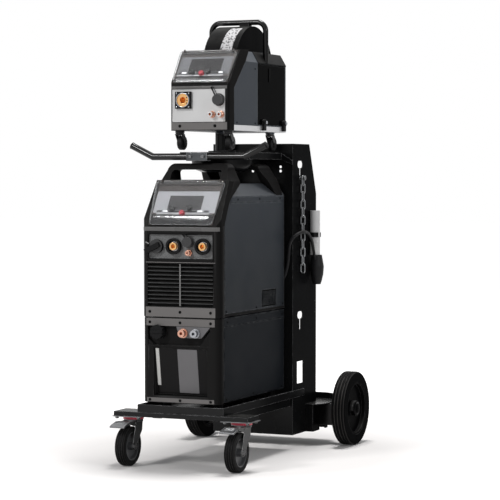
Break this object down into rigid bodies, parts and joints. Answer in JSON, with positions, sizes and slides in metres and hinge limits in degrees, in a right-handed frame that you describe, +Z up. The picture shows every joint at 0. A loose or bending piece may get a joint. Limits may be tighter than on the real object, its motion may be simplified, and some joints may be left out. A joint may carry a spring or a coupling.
{
  "type": "mig welding set on a cart",
  "caption": "Inverter power source on a liquid cooler, on a wheeled cart with a bottle column, push bar and castors, and a swivelling wire feeder on top.",
  "frame": {"origin": "centre of the footprint, on the floor", "axes": "+Z up, -Y towards the front with the controls, +X to the right of someone who faces along +Y"},
  "size_m": [0.61, 0.95, 1.429],
  "materials": {
    "cart_black": "gloss black powder coat",
    "panel_grey": "satin blue-grey powder coat",
    "moulding_black": "fine-grained black moulding",
    "tyre_black": "solid rubber",
    "wheel_grey": "grey nylon and rubber",
    "zinc": "zinc-plated steel",
    "chain_steel": "bright chain steel",
    "lead_black": "black rubber sheath",
    "plug_grey": "grey moulded plastic",
    "inner_metal": "sheet steel and castings",
    "inner_mix": "wound copper, castings and plastic",
    "coupling_metal": "machined couplings",
    "console_silver": "silver-grey keypad sheet",
    "control_grey": "mid grey plate",
    "socket_brass": "turned brass in black insulators",
    "knob_black": "glossy black",
    "knob_red": "glossy red",
    "cover_clear": "clear polycarbonate",
    "door_black": "gloss black",
    "handle_black": "gloss black tube"
  },
  "bodies": {
    "cart": {"tray": "cart_black", "bumper": "cart_black", "column": "cart_black", "bottle_shelf": "cart_black", "axle_beam": "cart_black", "castor_mounts": "zinc", "platform": "cart_black", "push_bar": "handle_black", "accessory_lead": "lead_black", "accessory_plug": "plug_grey", "cooler_chassis": "inner_metal", "cooler_panels": "panel_grey", "cooler_front": "moulding_black", "coolant_fittings": "coupling_metal", "cooling_pack": "inner_mix", "source_chassis": "inner_metal", "source_panels": "panel_grey", "source_front": "moulding_black", "source_rear": "moulding_black", "control_panel": "control_grey", "current_sockets": "socket_brass", "source_console": "console_silver", "power_block": "inner_mix"},
    "feeder": {"feeder_case": "panel_grey", "feeder_front": "moulding_black", "feeder_fittings": "console_silver", "hoop_handle": "handle_black", "spool_guard": "door_black", "drive_unit": "inner_mix", "small_fork_front": "inner_metal"},
    "rear_wheel_right": {"rear_wheel_right": "tyre_black"},
    "rear_wheel_left": {"rear_wheel_left": "tyre_black"},
    "castor_fork_right": {"castor_fork_right": "zinc"},
    "castor_fork_left": {"castor_fork_left": "zinc"},
    "castor_wheel_right": {"castor_wheel_right": "tyre_black"},
    "castor_wheel_left": {"castor_wheel_left": "tyre_black"},
    "brake_pedal_right": {"brake_pedal_right": "zinc"},
    "brake_pedal_left": {"brake_pedal_left": "zinc"},
    "chain": {"chain": "chain_steel"},
    "filler_cap": {"filler_cap": "knob_black"},
    "main_switch": {"main_switch": "knob_black"},
    "source_cover": {"source_cover": "cover_clear"},
    "source_knob_left": {"source_knob_left": "knob_black"},
    "source_knob_middle": {"source_knob_middle": "knob_red"},
    "source_knob_right": {"source_knob_right": "knob_black"},
    "source_fan": {"source_fan": "knob_black"},
    "wire_spool": {"wire_spool": "door_black"},
    "feeder_door": {"feeder_door": "door_black"},
    "door_latch_front": {"door_latch_front": "door_black"},
    "door_latch_rear": {"door_latch_rear": "door_black"},
    "feeder_cover": {"feeder_cover": "cover_clear"},
    "feeder_knob_left": {"feeder_knob_left": "knob_black"},
    "feeder_knob_middle": {"feeder_knob_middle": "knob_red"},
    "feeder_knob_right": {"feeder_knob_right": "knob_black"},
    "small_fork_rear_right": {"small_fork_rear_right": "inner_metal"},
    "small_fork_rear_left": {"small_fork_rear_left": "inner_metal"},
    "small_wheel_front_right": {"small_wheel_front_right": "tyre_black"},
    "small_wheel_front_left": {"small_wheel_front_left": "tyre_black"},
    "small_wheel_rear_right": {"small_wheel_rear_right": "tyre_black"},
    "small_wheel_rear_left": {"small_wheel_rear_left": "tyre_black"}
  },
  "joints": [
    {"name": "rear_wheel_right_spin", "type": "hinge", "parent": "cart", "child": "rear_wheel_right", "pos_m": [0.276, 0.35, 0.125], "axis": [1, 0, 0], "continuous": true},
    {"name": "castor_right_swivel", "type": "hinge", "parent": "cart", "child": "castor_fork_right", "pos_m": [0.1885, -0.361, 0.14], "axis": [0, 0, 1], "continuous": true},
    {"name": "castor_wheel_right_spin", "type": "hinge", "parent": "castor_fork_right", "child": "castor_wheel_right", "pos_m": [0.1885, -0.399, 0.0625], "axis": [1, 0, 0], "continuous": true},
    {"name": "brake_pedal_right_press", "type": "hinge", "parent": "castor_fork_right", "child": "brake_pedal_right", "pos_m": [0.1885, -0.397, 0.135], "axis": [1, 0, 0], "range_deg": [0, 8]},
    {"name": "rear_wheel_left_spin", "type": "hinge", "parent": "cart", "child": "rear_wheel_left", "pos_m": [-0.276, 0.35, 0.125], "axis": [1, 0, 0], "continuous": true},
    {"name": "castor_left_swivel", "type": "hinge", "parent": "cart", "child": "castor_fork_left", "pos_m": [-0.1885, -0.361, 0.14], "axis": [0, 0, 1], "continuous": true},
    {"name": "castor_wheel_left_spin", "type": "hinge", "parent": "castor_fork_left", "child": "castor_wheel_left", "pos_m": [-0.1885, -0.399, 0.0625], "axis": [1, 0, 0], "continuous": true},
    {"name": "brake_pedal_left_press", "type": "hinge", "parent": "castor_fork_left", "child": "brake_pedal_left", "pos_m": [-0.1885, -0.397, 0.135], "axis": [1, 0, 0], "range_deg": [0, 8]},
    {"name": "chain_swing", "type": "hinge", "parent": "cart", "child": "chain", "pos_m": [0.1495, 0.214, 0.909], "axis": [1, 0, 0], "range_deg": [-8, 8]},
    {"name": "filler_cap_turn", "type": "hinge", "parent": "cart", "child": "filler_cap", "pos_m": [-0.077, -0.405, 0.429], "axis": [0, 1, 0], "continuous": true},
    {"name": "main_switch_turn", "type": "hinge", "parent": "cart", "child": "main_switch", "pos_m": [-0.083, -0.412, 0.696], "axis": [0, 1, 0], "range_deg": [0, 90]},
    {"name": "source_fan_spin", "type": "hinge", "parent": "cart", "child": "source_fan", "pos_m": [0, 0.06, 0.65], "axis": [0, 1, 0], "continuous": true},
    {"name": "source_knob_left_turn", "type": "hinge", "parent": "cart", "child": "source_knob_left", "pos_m": [-0.042, -0.38058, 0.81371], "axis": [0, -0.841, 0.5411], "continuous": true},
    {"name": "source_knob_middle_turn", "type": "hinge", "parent": "cart", "child": "source_knob_middle", "pos_m": [-0.003, -0.38924, 0.80025], "axis": [0, -0.841, 0.5411], "continuous": true},
    {"name": "source_knob_right_turn", "type": "hinge", "parent": "cart", "child": "source_knob_right", "pos_m": [0.018, -0.3795, 0.81539], "axis": [0, -0.841, 0.5411], "continuous": true},
    {"name": "source_cover_lift", "type": "hinge", "parent": "cart", "child": "source_cover", "pos_m": [0, -0.32814, 0.89892], "axis": [-1, 0, 0], "range_deg": [0, 95]},
    {"name": "feeder_pivot", "type": "hinge", "parent": "cart", "child": "feeder", "pos_m": [0, -0.096, 1.05], "axis": [0, 0, 1], "range_deg": [-8, 8]},
    {"name": "feeder_knob_left_turn", "type": "hinge", "parent": "feeder", "child": "feeder_knob_left", "pos_m": [-0.036, -0.24529, 1.2456], "axis": [0, -0.7886, 0.6149], "continuous": true},
    {"name": "feeder_knob_middle_turn", "type": "hinge", "parent": "feeder", "child": "feeder_knob_middle", "pos_m": [-0.002, -0.24898, 1.24087], "axis": [0, -0.7886, 0.6149], "continuous": true},
    {"name": "feeder_knob_right_turn", "type": "hinge", "parent": "feeder", "child": "feeder_knob_right", "pos_m": [0.019, -0.24467, 1.24639], "axis": [0, -0.7886, 0.6149], "continuous": true},
    {"name": "feeder_cover_lift", "type": "hinge", "parent": "feeder", "child": "feeder_cover", "pos_m": [0, -0.19446, 1.31403], "axis": [-1, 0, 0], "range_deg": [0, 95]},
    {"name": "wire_spool_spin", "type": "hinge", "parent": "feeder", "child": "wire_spool", "pos_m": [0, 0.035, 1.25], "axis": [1, 0, 0], "continuous": true},
    {"name": "feeder_door_lift", "type": "hinge", "parent": "feeder", "child": "feeder_door", "pos_m": [0.098, 0.075, 1.276], "axis": [0, -1, 0], "range_deg": [0, 90]},
    {"name": "door_latch_front_turn", "type": "hinge", "parent": "feeder_door", "child": "door_latch_front", "pos_m": [0.106, 0.003, 1.09], "axis": [1, 0, 0], "range_deg": [0, 90]},
    {"name": "door_latch_rear_turn", "type": "hinge", "parent": "feeder_door", "child": "door_latch_rear", "pos_m": [0.106, 0.168, 1.09], "axis": [1, 0, 0], "range_deg": [0, 90]},
    {"name": "small_castor_rear_right_swivel", "type": "hinge", "parent": "feeder", "child": "small_fork_rear_right", "pos_m": [0.085, 0.099, 1.05], "axis": [0, 0, 1], "continuous": true},
    {"name": "small_wheel_rear_right_spin", "type": "hinge", "parent": "small_fork_rear_right", "child": "small_wheel_rear_right", "pos_m": [0.085, 0.115, 1.022], "axis": [1, 0, 0], "continuous": true},
    {"name": "small_wheel_front_right_spin", "type": "hinge", "parent": "feeder", "child": "small_wheel_front_right", "pos_m": [0.085, -0.218, 1.022], "axis": [1, 0, 0], "continuous": true},
    {"name": "small_castor_rear_left_swivel", "type": "hinge", "parent": "feeder", "child": "small_fork_rear_left", "pos_m": [-0.085, 0.099, 1.05], "axis": [0, 0, 1], "continuous": true},
    {"name": "small_wheel_rear_left_spin", "type": "hinge", "parent": "small_fork_rear_left", "child": "small_wheel_rear_left", "pos_m": [-0.085, 0.115, 1.022], "axis": [1, 0, 0], "continuous": true},
    {"name": "small_wheel_front_left_spin", "type": "hinge", "parent": "feeder", "child": "small_wheel_front_left", "pos_m": [-0.085, -0.218, 1.022], "axis": [1, 0, 0], "continuous": true}
  ]
}
